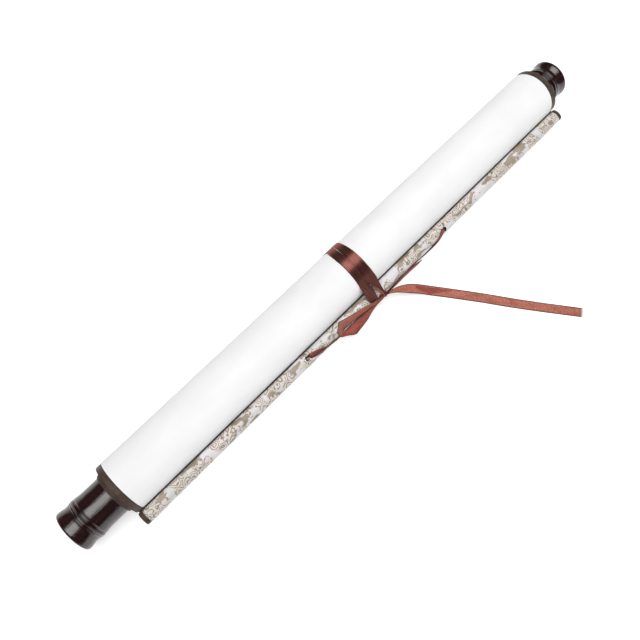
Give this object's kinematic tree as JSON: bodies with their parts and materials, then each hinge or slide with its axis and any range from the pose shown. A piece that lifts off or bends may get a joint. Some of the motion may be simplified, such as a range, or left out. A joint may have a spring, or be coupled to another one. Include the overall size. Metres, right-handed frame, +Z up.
{
  "type": "paper scroll",
  "caption": "Hanging scroll rolled on a wooden roller with turned end knobs and a brocade-covered top stave, tied round the middle with a satin ribbon.",
  "frame": {"origin": "centre of the small flat that the roll rests on, halfway along the white paper", "axes": "+X along the roller towards the right-hand knob, +Z up from the table, the top stave lies along the roll on its -Y side"},
  "size_m": [0.5152, 0.1734, 0.0419],
  "materials": {
    "backing_paper": "matt smooth mulberry paper",
    "edge_silk": "dark brown plain-weave silk edging",
    "bare_wood": "sanded softwood",
    "lacquer": "glossy dark red lacquer",
    "brocade": "silver-white silk brocade with beige scrolling leaves",
    "satin_ribbon": "russet satin ribbon"
  },
  "bodies": {
    "root": {"paper_roll": "backing_paper", "silk_edge_left": "edge_silk", "silk_edge_right": "edge_silk", "roller_dowel": "bare_wood", "knob_left": "lacquer", "knob_right": "lacquer", "top_stave": "bare_wood", "stave_brocade": "brocade", "hanging_ribbon": "satin_ribbon", "tie_ribbon": "satin_ribbon", "ribbon_tail": "satin_ribbon"}
  },
  "joints": []
}
